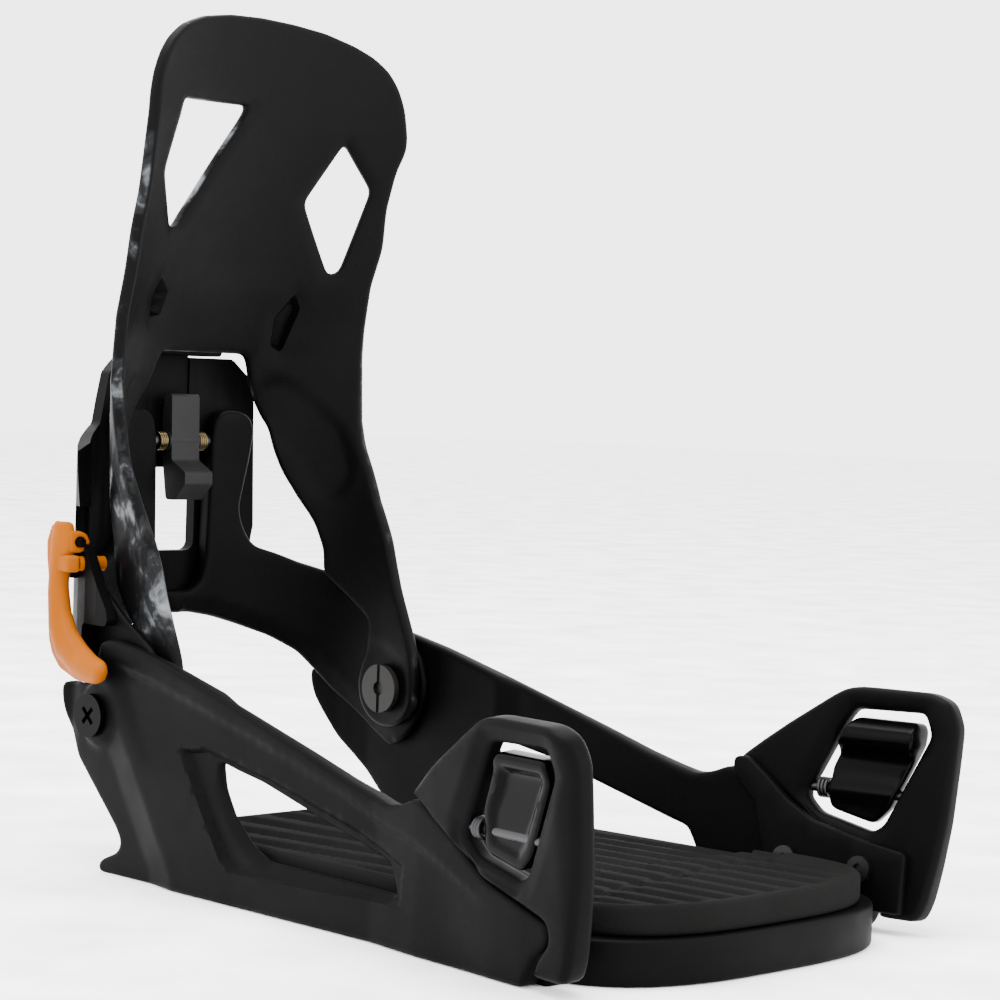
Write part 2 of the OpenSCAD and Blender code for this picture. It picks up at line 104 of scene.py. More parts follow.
def new_object(name, points, faces, uv=None):
    """A mesh object from points in millimetres, smooth, with its faces turned outwards."""
    mesh = bpy.data.meshes.new(name)
    mesh.from_pydata((np.asarray(points) * MM).tolist(), [], faces)
    if uv is not None:
        layer = mesh.uv_layers.new(name="print")
        corner = np.empty(len(mesh.loops), np.int32)
        mesh.loops.foreach_get("vertex_index", corner)
        layer.data.foreach_set("uv", np.asarray(uv, np.float32)[corner].ravel())
    made = bmesh.new()
    made.from_mesh(mesh)
    bmesh.ops.recalc_face_normals(made, faces=made.faces)
    made.to_mesh(mesh)
    made.free()
    mesh.shade_smooth()
    mesh.set_sharp_from_angle(angle=0.8)
    piece = bpy.data.objects.new(name, mesh)
    bpy.context.collection.objects.link(piece)
    return piece


def beside(loop, wide):
    """A closed loop and its copy a little further in, as two rows of points."""
    loop = resample(np.array(loop, float), 0.9)
    return np.vstack([loop, loop + inwards(loop) * wide])


def plate(name, outline, holes, low, top, place, edge=1.2, grid=3.0, arcs=3, seams=()):
    """A plate over a flat outline with holes. low and top give its two faces' distances at (u, v), place puts
    (u, v, w) in space. Each rim turns a quarter circle of radius edge: inset by edge (1 - cos t), down by
    edge (1 - sin t). seams are rows of points to carry a sharp step in a face."""
    loops = [outline] + list(holes)
    normals = [inwards(outline)] + [-inwards(h) for h in holes]
    turns = np.linspace(0, np.pi / 2, arcs + 1)
    rims = [loop + n * edge for loop, n in zip(loops, normals)]
    lo, hi = outline.min(0), outline.max(0)
    us = np.arange(lo[0], hi[0], grid)
    vs = np.arange(lo[1], hi[1], grid * 0.87)
    uu, vv = np.meshgrid(us, vs)
    uu = uu + (np.arange(len(vs)) % 2)[:, None] * grid / 2
    cloud = np.column_stack([uu.ravel(), vv.ravel()])
    cloud = cloud[inside(cloud, rims[0])]
    for rim in rims[1:]:
        cloud = cloud[~inside(cloud, rim)]
    kept = [row[inside(row, rims[0])] for row in seams]
    every = np.vstack(rims + kept)
    for part in np.array_split(every, max(1, len(every) // 300)):
        near = np.min(np.linalg.norm(cloud[:, None, :] - part[None], axis=2), axis=1)
        cloud = cloud[near > grid * 0.45]
    flat = np.vstack([every, cloud])
    edges = []
    start = 0
    for rim in rims:
        ids = start + np.arange(len(rim))
        edges += list(zip(ids.tolist(), np.roll(ids, -1).tolist()))
        start += len(rim)
    found = geometry.delaunay_2d_cdt([Vector(p) for p in flat], edges, [], 0, 1e-6)
    tris = np.array([f for f in found[2] if len(f) == 3])
    flat = np.array([tuple(p) for p in found[0]])
    middle = flat[tris].mean(1)
    keep = inside(middle, rims[0])
    for rim in rims[1:]:
        keep &= ~inside(middle, rim)
    tris = tris[keep]
    total = len(flat)
    uvw = []
    uvw.append(np.column_stack([flat, top(flat[:, 0], flat[:, 1])]))
    uvw.append(np.column_stack([flat, low(flat[:, 0], flat[:, 1])]))
    faces = tris.tolist() + (tris[:, ::-1] + total).tolist()
    count = 2 * total
    start = 0
    for loop, n in zip(loops, normals):
        m = len(loop)
        ids = start + np.arange(m)
        rings = [ids]
        for side, turn in [(1, t) for t in turns[::-1][1:]] + [(0, t) for t in turns[:-1]]:
            p = loop + n * (edge * (1 - np.cos(turn)))
            h, b = top(p[:, 0], p[:, 1]), low(p[:, 0], p[:, 1])
            down = np.minimum(edge, (h - b) * 0.48) * (1 - np.sin(turn))
            uvw.append(np.column_stack([p, h - down if side else b + down]))
            rings.append(count + np.arange(m))
            count += m
        rings.append(ids + total)
        for a, b in zip(rings[:-1], rings[1:]):
            faces += np.column_stack([a, np.roll(a, -1), np.roll(b, -1), b]).tolist()
        start += m
    uvw = np.vstack(uvw)
    h, b = top(uvw[:, 0], uvw[:, 1]), low(uvw[:, 0], uvw[:, 1])
    share = (uvw[:, 2] - b) / (h - b)
    used = np.zeros(len(uvw), bool)
    used[np.concatenate([np.ravel(f) for f in faces])] = True
    renumber = np.cumsum(used) - 1
    faces = [[int(renumber[i]) for i in f] for f in faces]
    points = place(uvw[:, 0], uvw[:, 1], uvw[:, 2])[used]
    return new_object(name, points, faces, np.column_stack([share, uvw[:, 1] * 0.01])[used])


def smooth(low, high, at):
    """0 below low, 1 above high, and an even S between."""
    t = np.clip((at - low) / (high - low), 0, 1)
    return t * t * (3 - 2 * t)


def to_line(u, v, line):
    """Distance from each (u, v) to an open line of straight pieces."""
    best = np.full(np.shape(u), 1e9)
    for (x0, y0), (x1, y1) in zip(line[:-1], line[1:]):
        dx, dy = x1 - x0, y1 - y0
        t = np.clip(((u - x0) * dx + (v - y0) * dy) / (dx * dx + dy * dy), 0, 1)
        best = np.minimum(best, np.hypot(u - x0 - t * dx, v - y0 - t * dy))
    return best


def sunk_in(u, v, corners, wide):
    """1 well inside a closed outline, 0 outside it, with a slope of the given width inside its edge."""
    flat = np.column_stack([np.ravel(u), np.ravel(v)])
    within = inside(flat, np.array(corners, float)).reshape(np.shape(u))
    return within * smooth(0, wide, to_line(u, v, corners + corners[:1]))


BACK_T = 4.5


def back_frame(z):
    """The outer face's arc at a height: its radius, its centre, and where its straight sides begin. Half the
    width c and the depth d give the radius (c^2 + d^2) / 2d."""
    rear = np.interp(z, [60, 110, 135, 155, 175, 225, 265], [151, 155, 153, 147, 138, 121, 113])
    front = np.interp(z, [60, 90, 120, 145, 165, 200, 225, 265], [101, 102, 116, 122, 121, 113, 108, 106])
    half = np.interp(z, [90, 120, 225, 265], [49.2, 51, 51, 48])
    deep = np.minimum(half, rear - front)
    radius = (half ** 2 + deep ** 2) / (2 * deep)
    return radius, rear - radius, front - 16


def back_place(s, z, w):
    """A point of the highback from its arc length s off the middle, height z and distance w inside the outer
    face: x = (R - w) sin a, y = yc + (R - w) cos a, straight on where the arc ends."""
    radius, centre, cut = back_frame(z)
    turn = np.arccos(np.clip((cut - centre) / radius, 0, 1))
    angle = np.minimum(np.abs(s) / radius, turn)
    rest = np.maximum(0, np.abs(s) - radius * turn)
    x = np.sign(s) * (radius - w) * np.sin(angle)
    y = centre + (radius - w) * np.cos(angle) - rest
    return np.column_stack([x, y, z])


def back_s_at_x(x, z):
    """Arc length of the outer face at a distance off the middle."""
    radius = back_frame(z)[0]
    return radius * np.arcsin(np.clip(x / radius, -0.999, 0.999))


def back_s_at_y(y, z):
    """Arc length of the outer face at a place along the foot."""
    radius, centre, cut = back_frame(z)
    turn = np.arccos(np.clip((cut - centre) / radius, 0, 1))
    on = radius * np.arccos(np.clip((y - centre) / radius, -1, 1))
    return np.where(y > np.maximum(centre, cut), on, radius * turn + np.maximum(centre, cut) - y)


def from_x(points):
    """Outline points from distances off the middle and heights."""
    return [(float(back_s_at_x(np.array(x), np.array(z))), z) for x, z in points]


def from_y(points, side=1):
    """Outline points on one side from places along the foot and heights."""
    return [(side * float(back_s_at_y(np.array(y), np.array(z))), z) for y, z in points]


front_edge = [(108, 221), (110.5, 214), (113.5, 202), (115.5, 190), (119.5, 177),
              (122, 163), (122.3, 153), (122, 143), (119, 127), (112, 113), (103.5, 98), (98, 82), (94, 73),
              (90.5, 65), (89.2, 56), (89.4, 46), (92.8, 41.8), (97, 39.2), (102, 38.4), (107, 39.2),
              (111, 41.8), (113.8, 46), (114.8, 52), (113.4, 58), (111, 64), (110.5, 72)]
arch = [(42.6, 86), (42.9, 93), (41.4, 102), (38, 110), (34, 118), (31.4, 125), (29.6, 132), (25.5, 138),
        (21.5, 145), (19.8, 151), (18, 155.2)]
top_edge = [(-51.4, 229), (-50.4, 236), (-47.9, 242), (-44.2, 247), (-38.5, 251.4), (-30, 254.6), (-18, 256.4),
            (-5, 256.9), (8, 256.3), (20, 254.9), (31.2, 252), (38.5, 249), (44.1, 245), (47.7, 240),
            (50.2, 234), (51.4, 228)]
medial = from_y(front_edge) + from_x(arch)
lateral = from_x([(-x, z) for x, z in arch[::-1]]) + from_y(front_edge[::-1][:-1], -1)
back_outline = soft_loop(lateral + from_x(top_edge) + medial, 1.8, 1.3)
back_windows = [
    ([(-35, 230), (-5, 230.5), (-26, 193), (-30, 192), (-39.5, 208)], 1.6),
    ([(33, 222), (44.2, 208), (40, 182), (37, 181), (24, 203)], 1.5)]
back_dents = [
    [(-29.5, 177.5), (-24, 173), (-25, 166), (-31, 165), (-33, 171)],
    [(28, 175), (31, 170), (29, 156), (25, 158), (23.5, 167)]]
back_holes = [soft_loop(from_x(pts), soft, 1.0) for pts, soft in back_windows]
HINGE_Y = 102
HINGE_Z = 51
bush_r = 5.4
around = np.linspace(0, 2 * np.pi, 25)[:-1]
hinge_hole = [(HINGE_Y + bush_r * np.cos(t), HINGE_Z + bush_r * np.sin(t)) for t in around]
for side in (1, -1):
    back_holes.append(resample(np.array(from_y(hinge_hole, side)), 1.0))


def back_inner(s, z):
    """The panel's inner face: full thickness, less a shallow dish round each window, the two deep dents, a
    groove down each leg and a step round the pivot disc."""
    w = np.full(np.shape(s), BACK_T - 0.05)
    for pts, soft in back_windows:
        w -= 0.6 * (1 - smooth(0.5, 3.5, to_line(s, z, from_x(pts + pts[:1]))))
    for pts in back_dents:
        w -= 3.3 * sunk_in(s, z, from_x(pts), 1.4)
        w -= 0.5 * (1 - smooth(0, 4, to_line(s, z, from_x(pts + pts[:1]))))
    x = np.abs(s)
    w -= 0.9 * (1 - smooth(6, 11, to_line(x, z, from_x([(30, 139), (37, 134), (43, 127), (45, 119)]))))
    w -= 0.5 * smooth(16, 12, np.hypot(x - 73, z - HINGE_Z)) * smooth(95, 80, z)
    return w


def back_outer(s, z):
    """The outer face, with a low rib down each side of the spine."""
    x = np.abs(s)
    ribs = np.exp(-((x - 20 - (z - 160) * 0.12) / 3.2) ** 2) * smooth(135, 150, z) * smooth(240, 225, z)
    return 0.45 - 0.4 * ribs


highback = plate("highback_panel", back_outline, back_holes, back_outer, back_inner, back_place,
                 edge=1.5, grid=1.7, arcs=4, seams=[beside(from_x(pts), 1.4) for pts in back_dents])
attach(highback, "back")
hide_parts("highback")
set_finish(highback, "highback_plastic")


def node_group(name, inputs, outputs):
    """An empty shader group with its sockets: (name, kind, value)."""
    group = bpy.data.node_groups.new(name, "ShaderNodeTree")
    for label, kind, value in inputs:
        socket = group.interface.new_socket(name=label, in_out="INPUT", socket_type=kind)
        socket.default_value = value
    for label, kind in outputs:
        group.interface.new_socket(name=label, in_out="OUTPUT", socket_type=kind)
    return group, group.nodes.new("NodeGroupInput"), group.nodes.new("NodeGroupOutput")


def noise(tree, where, scale, detail, rough=0.55):
    """A cloud noise read at the given coordinates."""
    node = tree.nodes.new("ShaderNodeTexNoise")
    node.inputs["Scale"].default_value = scale
    node.inputs["Detail"].default_value = detail
    node.inputs["Roughness"].default_value = rough
    tree.links.new(where, node.inputs["Vector"])
    return node.outputs["Fac"]


def map_range(tree, value, low, high, to_low, to_high):
    """A value carried from one range to another."""
    node = tree.nodes.new("ShaderNodeMapRange")
    node.inputs["From Min"].default_value = low
    node.inputs["From Max"].default_value = high
    node.inputs["To Min"].default_value = to_low
    node.inputs["To Max"].default_value = to_high
    tree.links.new(value, node.inputs["Value"])
    return node.outputs["Result"]


def grain_group():
    """Moulded grain: fine bumps, a slow tone change and patches a little shinier, all on object coordinates."""
    inputs = [("Size", "NodeSocketFloat", 2600.0), ("Depth", "NodeSocketFloat", 0.25),
              ("Rough", "NodeSocketFloat", 0.5)]
    outputs = [("Tone", "NodeSocketFloat"), ("Roughness", "NodeSocketFloat"), ("Normal", "NodeSocketVector")]
    group, into, out = node_group("moulded grain", inputs, outputs)
    where = group.nodes.new("ShaderNodeTexCoord").outputs["Object"]
    fine = group.nodes.new("ShaderNodeTexNoise")
    fine.inputs["Detail"].default_value = 2.0
    group.links.new(where, fine.inputs["Vector"])
    group.links.new(into.outputs["Size"], fine.inputs["Scale"])
    bump = group.nodes.new("ShaderNodeBump")
    bump.inputs["Distance"].default_value = 0.0002
    group.links.new(into.outputs["Depth"], bump.inputs["Strength"])
    group.links.new(fine.outputs["Fac"], bump.inputs["Height"])
    group.links.new(bump.outputs["Normal"], out.inputs["Normal"])
    slow = noise(group, where, 22.0, 4.0)
    group.links.new(map_range(group, slow, 0.3, 0.7, 0.85, 1.18), out.inputs["Tone"])
    patch = map_range(group, noise(group, where, 60.0, 5.0), 0.3, 0.7, -0.05, 0.06)
    total = group.nodes.new("ShaderNodeMath")
    group.links.new(into.outputs["Rough"], total.inputs[0])
    group.links.new(patch, total.inputs[1])
    group.links.new(total.outputs[0], out.inputs["Roughness"])
    return group


grain = grain_group()


def finish(name, colour, rough, size=2600.0, depth=0.25, metal=0.0, specular=0.5):
    """One finish: a base colour varied by the grain group's tone, with its roughness and bumps."""
    material = bpy.data.materials.new(name)
    material.use_nodes = True
    tree = material.node_tree
    shader = tree.nodes["Principled BSDF"]
    shader.inputs["Metallic"].default_value = metal
    shader.inputs["Specular IOR Level"].default_value = specular
    use = tree.nodes.new("ShaderNodeGroup")
    use.node_tree = grain
    use.inputs["Size"].default_value = size
    use.inputs["Depth"].default_value = depth
    use.inputs["Rough"].default_value = rough
    tint = tree.nodes.new("ShaderNodeVectorMath")
    tint.operation = "SCALE"
    tint.inputs[0].default_value = colour
    tree.links.new(use.outputs["Tone"], tint.inputs["Scale"])
    tree.links.new(tint.outputs[0], shader.inputs["Base Color"])
    tree.links.new(use.outputs["Roughness"], shader.inputs["Roughness"])
    tree.links.new(use.outputs["Normal"], shader.inputs["Normal"])
    return material


def marble_group():
    """Marbled film: soft clouds folded by a second noise, pale where they cross a threshold, only outside."""
    inputs = [("Tone", "NodeSocketFloat", 1.0)]
    group, into, out = node_group("marbled film", inputs, [("Colour", "NodeSocketColor")])
    coords = group.nodes.new("ShaderNodeTexCoord")
    where = coords.outputs["Object"]
    fold = group.nodes.new("ShaderNodeTexNoise")
    fold.inputs["Scale"].default_value = 26.0
    fold.inputs["Detail"].default_value = 3.0
    group.links.new(where, fold.inputs["Vector"])
    push = group.nodes.new("ShaderNodeVectorMath")
    push.operation = "MULTIPLY_ADD"
    push.inputs[1].default_value = (0.045, 0.045, 0.045)
    group.links.new(fold.outputs["Color"], push.inputs[0])
    group.links.new(where, push.inputs[2])
    cloud = noise(group, push.outputs[0], 38.0, 6.0, 0.62)
    ramp = group.nodes.new("ShaderNodeValToRGB")
    ramp.color_ramp.elements[0].position = 0.50
    ramp.color_ramp.elements[0].color = (0.0012, 0.0012, 0.0013, 1)
    ramp.color_ramp.elements[1].position = 0.66
    ramp.color_ramp.elements[1].color = (0.12, 0.127, 0.133, 1)
    step = ramp.color_ramp.elements.new(0.56)
    step.color = (0.009, 0.0096, 0.0105, 1)
    group.links.new(cloud, ramp.inputs["Fac"])
    share = group.nodes.new("ShaderNodeUVMap")
    share.uv_map = "print"
    split = group.nodes.new("ShaderNodeSeparateXYZ")
    group.links.new(share.outputs["UV"], split.inputs[0])
    outside = map_range(group, split.outputs["X"], 0.72, 0.88, 1.0, 0.0)
    plain = group.nodes.new("ShaderNodeVectorMath")
    plain.operation = "SCALE"
    plain.inputs[0].default_value = (0.0012, 0.0012, 0.0013)
    group.links.new(into.outputs["Tone"], plain.inputs["Scale"])
    mix = group.nodes.new("ShaderNodeMix")
    mix.data_type = "RGBA"
    group.links.new(outside, mix.inputs["Factor"])
    group.links.new(plain.outputs[0], mix.inputs["A"])
    group.links.new(ramp.outputs["Color"], mix.inputs["B"])
    group.links.new(mix.outputs["Result"], out.inputs["Colour"])
    return group


printed_nylon = finish("printed nylon", (0.0012, 0.0012, 0.0013), 0.46, specular=0.04)
printed = printed_nylon.node_tree
marble = printed.nodes.new("ShaderNodeGroup")
marble.node_tree = marble_group()
tone = next(n for n in printed.nodes if n.type == "GROUP" and n.node_tree == grain).outputs["Tone"]
printed.links.new(tone, marble.inputs["Tone"])
printed.links.new(marble.outputs["Colour"], printed.nodes["Principled BSDF"].inputs["Base Color"])
by_slot = {"highback_plastic": printed_nylon}


# ---------------------------------------------------------------------------
# The heel hoop is a thick nylon U screwed to the side walls. Two prongs stand
# on its saddle, one each side of the latch, inside the highback's opening.
# ---------------------------------------------------------------------------
sweep = np.linspace(0, np.pi / 2, 400)
curve_x = 49.6 * np.cos(sweep) ** (2 / 2.4)
curve_y = 110 + 39.5 * np.sin(sweep) ** (2 / 2.4)
curve_x = np.concatenate([[49.6], curve_x])
curve_y = np.concatenate([[50.0], curve_y])
curve_s = np.concatenate([[0], np.cumsum(np.hypot(np.diff(curve_x), np.diff(curve_y)))])
curve_s = curve_s[-1] - curve_s


def hoop_place(s, z, w):
    """A point of the hoop: along its inner curve by s from the middle, out from it by w."""
    run = curve_s[::-1]
    along_x = curve_x[::-1]
    along_y = curve_y[::-1]
    off = np.abs(s)
    x = np.interp(off, run, along_x)
    y = np.interp(off, run, along_y)
    dx = np.interp(off + 0.5, run, along_x) - np.interp(off - 0.5, run, along_x)
    dy = np.interp(off + 0.5, run, along_y) - np.interp(off - 0.5, run, along_y)
    size = np.hypot(dx, dy) + 1e-9
    out_x = np.where(off < 0.6, 0, -dy / size)
    out_y = np.where(off < 0.6, 1, dx / size)
    return np.column_stack([np.sign(s) * (x + out_x * w), y + out_y * w, z])


def hoop_s_x(points):
    """Outline points on one half from distances off the middle and heights."""
    return [(float(np.interp(x, curve_x[::-1], curve_s[::-1])), z) for x, z in points]


def hoop_s_y(points, side=1):
    """Outline points on one side from places along the foot and heights."""
    return [(side * float(np.interp(y, curve_y, curve_s)), z) for y, z in points]


arm_top = [(88.9, 54), (91.4, 61), (98, 68), (108, 74), (122, 83.5), (131, 86)]
arm_low = [(129, 48), (113, 36.2), (105, 31.9), (98, 34.6), (91.5, 42), (88.9, 49)]
saddle_half = [(39, 88.5), (33, 91.5), (27, 93.5), (24.5, 96.5), (22.5, 101), (21.5, 106), (24.5, 122),
               (25.7, 131), (24, 135.5), (20, 137.2), (15, 137), (12, 134), (11, 128), (10, 90), (8.5, 83),
               (5, 79.6)]
low_half = [(5, 72.6), (14, 71), (22, 68.5), (32, 64.5), (39, 59.8)]
top_part = hoop_s_y(arm_top) + hoop_s_x(saddle_half)
low_part = hoop_s_x(low_half) + hoop_s_y(arm_low)
top_other = [(-s, z) for s, z in top_part[::-1]]
low_other = [(-s, z) for s, z in low_part[::-1]]
hoop_outline = soft_loop(top_part + top_other + low_other + low_part, 1.3, 1.2)


def round_hole(s, z, r, step=0.9):
    """A circle as an outline, with points about one step apart."""
    turn = np.linspace(0, 2 * np.pi, max(12, int(2 * np.pi * r / step)) + 1)[:-1]
    return np.column_stack([s + r * np.cos(turn), z + r * np.sin(turn)])


def hoop_outer(s, z):
    """The hoop is 3 mm thick along its arms and 6.4 mm behind the heel."""
    return 2.9 + 3.4 * smooth(58, 30, np.abs(s))


def hoop_inner(s, z):
    """The inner face, stepped back along its lower edge."""
    drop = 0.7 * (1 - smooth(3.0, 4.2, to_line(np.abs(s), z, hoop_s_x(low_half) + hoop_s_y(arm_low[:3]))))
    return 0.1 + drop


pin_holes = []
for side in (1, -1):
    pin_s = hoop_s_y([(HINGE_Y, HINGE_Z)], side)[0][0]
    pin_holes.append(round_hole(pin_s, HINGE_Z, 4.3))
hoop = plate("heel_hoop_shell", hoop_outline, pin_holes, hoop_inner, hoop_outer, hoop_place,
             edge=1.4, grid=2.4, arcs=4)
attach(hoop, "chassis")
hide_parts("heel_hoop")
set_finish(hoop, "hoop_plastic")
by_slot["hoop_plastic"] = finish("hoop nylon", (0.0009, 0.0009, 0.001), 0.46, specular=0.03)


# ---------------------------------------------------------------------------
# The base is one nylon moulding: a floor with the disc's pocket and two side
# walls. Each wall has a rolled top rail, a sunk panel and a slanting window.
# ---------------------------------------------------------------------------
def mirrored(name, piece):
    """The same piece for the other side of the foot."""
    copy = piece.copy()
    copy.data = piece.data.copy()
    copy.name = name
    copy.data.transform(Matrix.Scale(-1, 4, (1, 0, 0)))
    copy.data.flip_normals()
    bpy.context.collection.objects.link(copy)
    return copy


def level(value):
    """A flat face at one distance everywhere."""
    return lambda u, v: np.full(np.shape(u), float(value))


def plan(x, y, z):
    """A flat piece seen from above, with its thickness along Z."""
    return np.column_stack([x, y, z])


def wall_out(y):
    """How far the wall's outer face stands off the middle."""
    return np.interp(y, [-95, -75, -31, -11, 65, 118, 130, 140], [72, 70.5, 65.4, 62, 58.5, 56.5, 55.6, 53])


def wall_in(y):
    """How far its inner face stands off the middle."""
    return np.interp(y, [-95, -75, -31, -11, 52, 60, 118, 124, 130, 136, 140],
                     [65, 63.2, 59, 56.2, 55, 52.9, 52.9, 51.8, 50.1, 47.5, 45.5])


def wall_place(y, z, w):
    """A point of the wall on the +X side: w outwards from its inner face."""
    return np.column_stack([wall_in(y) + w, y, z])


rail_outline = soft_loop([
    (-84.8, 17.2), (-74, 20.4), (-60, 24.4), (-46, 33.3), (-33, 40.6), (-29, 40.6), (-24, 38.4), (-18, 37.2),
    (0, 41.6), (17, 46.6), (40, 53), (58, 58), (84, 64.8), (100, 68.2), (111, 69.7), (116, 68.5), (119, 62),
    (121.5, 55.2), (139.3, 54.6), (139.3, 50), (138, 45), (135.8, 41), (130.3, 32.5), (118, 22.5), (109, 14),
    (106.2, 9.9), (108, 6.8), (117, 3.3), (117.6, 0.1), (60, 0.1), (-75.5, 0.1), (-79.4, 8), (-84.8, 12)],
    1.5, 1.4)
window_line = [(-20, 13.6), (-16, 21.5), (4, 26.6), (40, 35.8), (60, 39.2), (58, 32), (51, 24), (44, 18),
               (36, 14.5)]
wall_window = soft_loop(window_line, 1.3, 1.1)
SCREW_Y = 118
SCREW_Z = 46.5
screw_hole = round_hole(SCREW_Y, SCREW_Z, 3.2)
crease = [(118, 66), (112, 64), (83, 58), (57, 52), (28, 45), (1, 38), (-14, 32.5), (-30, 30), (-60, 19)]
ridge_y = [78, 87, 97, 107, 114, 116]
ridge_z = [4, 17, 32, 46, 57, 70]
recess = [(76.5, 41.5), (65.3, 43), (32.8, 37.5), (-1.9, 29.5), (-24, 22.5), (-24, 11.5), (30, 9.8),
          (50, 9.5), (55, 12), (66, 27)]


def wall_face(y, z):
    """The wall's outer face: the rail stands proud above its crease, the panel below is sunk, the corner
    behind a slanting ridge falls away as a facet round the screw's boss, and the window sits in a pocket."""
    full = wall_out(y) - wall_in(y) - 0.05
    under = np.interp(y, [p[0] for p in crease[::-1]], [p[1] for p in crease[::-1]]) - z
    behind = y - np.interp(z, ridge_z, ridge_y)
    sunk = 1.3 * smooth(0, 1.3, under) * smooth(30, 6, under) * smooth(-66, -40, y) * smooth(-2, -12, behind)
    facet = np.clip(0.19 * behind, 0, 2.6) * smooth(8, 10.5, np.hypot(y - SCREW_Y, z - SCREW_Z))
    sunk = np.maximum(sunk, facet)
    pocket = 1.9 * sunk_in(y, z, recess, 1.8)
    slope = 0.9 * (1 - smooth(0.3, 4, to_line(y, z, window_line + window_line[:1])))
    return full - np.clip(np.maximum(sunk, slope) + pocket, 0, 3.6) * smooth(140, 134, y)


wall = plate("side_wall_medial", rail_outline, [wall_window, screw_hole], level(0.05), wall_face, wall_place,
             edge=1.5, grid=1.5, arcs=4, seams=[beside(recess, 1.8)])
wall_lateral = mirrored("side_wall_lateral", wall)

floor_rim = [(wall_in(y) + 0.3, y) for y in (-78, -50, -31, -11, 20, 52, 60)]
floor_rim += [(53 * np.cos(t), 74 + 26 * np.sin(t)) for t in np.linspace(0, np.pi, 14)]
floor_rim += [(-x, y) for x, y in floor_rim[:7][::-1]]
base_floor = plate("base_floor", soft_loop(floor_rim, 0.6, 1.6), [round_hole(0, 0, 43.4, 1.6)], level(0.05),
                   level(5.95), plan, edge=0.5, grid=6, arcs=2)
ledge = plate("disc_ledge", round_hole(0, 0, 44.2, 1.6), [round_hole(0, 0, 37.4, 1.4)], level(0.1),
              level(2.6), plan, edge=0.3, grid=5, arcs=1)
for piece in (wall, wall_lateral, base_floor, ledge):
    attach(piece, "chassis")
    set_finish(piece, "base_plastic")
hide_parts("baseplate")
by_slot["base_plastic"] = finish("black nylon", (0.0011, 0.0011, 0.0012), 0.5, specular=0.028)


# ---------------------------------------------------------------------------
# The toe hooks are separate thick mouldings of the base's nylon, screwed to the
# front of the walls. They spread and lean outwards, and each has a slanting
# window for its catch.
# ---------------------------------------------------------------------------
def hook_frame(y, z, x):
    """The hook's own frame turned by its lean of 6 degrees about Y, then its splay of 8 degrees about Z."""
    lean = np.radians(6)
    splay = np.radians(8)
    x1 = x * np.cos(lean) + z * np.sin(lean)
    z1 = -x * np.sin(lean) + z * np.cos(lean)
    y0 = y + 31
    return np.column_stack([64.1 + x1 * np.cos(splay) - y0 * np.sin(splay),
                            -31 + x1 * np.sin(splay) + y0 * np.cos(splay), z1])


hook_rim = soft_loop([
    (-30.5, 42.4), (-38, 48.2), (-46, 54), (-60, 63.3), (-64, 65.6), (-69, 66.4), (-91, 66.4), (-97, 64.2),
    (-100.2, 58), (-99.9, 48), (-98.9, 31), (-97, 19), (-94.9, 9), (-92.4, 3.4), (-79.5, 3.4), (-82.7, 9.1),
    (-87.3, 13.3), (-86.9, 18), (-75, 21.4), (-60, 25.4), (-46, 34.4), (-38, 39)], 1.7, 1.2)
hook_window_line = [(-67, 60), (-89, 60.5), (-91.5, 54.5), (-79, 28.5), (-75.5, 26.3), (-58, 30.2),
                    (-53.5, 34.5), (-64.5, 56.5)]
hook_window = soft_loop(hook_window_line, 1.2, 0.9)


def hook_outer(y, z):
    """Outer face: proud middle, window surround sunk a little, rounded off towards the toe and the top."""
    away = to_line(y, z, hook_window_line + hook_window_line[:1])
    dip = 1.2 * (1 - smooth(2.2, 4.2, away))
    nose = 1.4 * smooth(-91, -100, y) ** 2
    tail = 1.2 * smooth(-44, -32, y)
    return -0.05 - np.maximum(dip, nose) - tail


def hook_inner(y, z):
    """Inner face: flat, with a slope of 0.8 mm round the window."""
    away = to_line(y, z, hook_window_line + hook_window_line[:1])
    return -7.95 + 0.8 * (1 - smooth(0.5, 4.5, away))


hook = plate("toe_hook_shell_medial", hook_rim, [hook_window], hook_inner, hook_outer, hook_frame,
             edge=2.1, grid=2.2, arcs=5)
tongue_rim = soft_loop([(-89, 5), (-89, 22), (-75.5, 24.1), (-59, 27.8), (-50, 32.8), (-43, 38.5), (-36, 43.5),
                        (-31.5, 43), (-31.5, 38), (-40, 30), (-45, 12.8), (-72, 12.8), (-80, 5)], 0.9, 1.1)
tongue = plate("toe_hook_tongue_medial", tongue_rim, [], level(-10.95), level(-7.6), hook_frame,
               edge=0.8, grid=4, arcs=2)
hooks = [hook, mirrored("toe_hook_shell_lateral", hook)]
tongues = [tongue, mirrored("toe_hook_tongue_lateral", tongue)]
for shell, root, node in zip(hooks, tongues, ("toe_hook_medial", "toe_hook_lateral")):
    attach(shell, "chassis")
    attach(root, "chassis")
    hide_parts(node)
    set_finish(shell, "base_plastic")
    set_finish(root, "base_plastic")


# ---------------------------------------------------------------------------
# Each toe catch is a glossy moulded flap on a steel pin: a rolled bar along its
# top and a hollowed tongue below it, with a jaw on the boot's side.
# ---------------------------------------------------------------------------
catch_line = [(-75.6, 28.6), (-80, 33), (-88.8, 52), (-88, 57.8), (-68.2, 57.8), (-61.2, 43), (-60.9, 33),
              (-62.2, 31.4)]
catch_rim = soft_loop(catch_line, 1.1, 0.8)


def catch_outer(y, z):
    """A rim 3 mm wide round a hollow face, deepest at its top, and a rolled bar standing out above it."""
    away = to_line(y, z, catch_line + catch_line[:1])
    hollow = (0.7 + 1.1 * smooth(36, 50, z)) * smooth(2.6, 4.2, away) * smooth(55.5, 52, z)
    return -2.3 - hollow + 0.9 * np.exp(-((z - 55.6) / 2.2) ** 2)


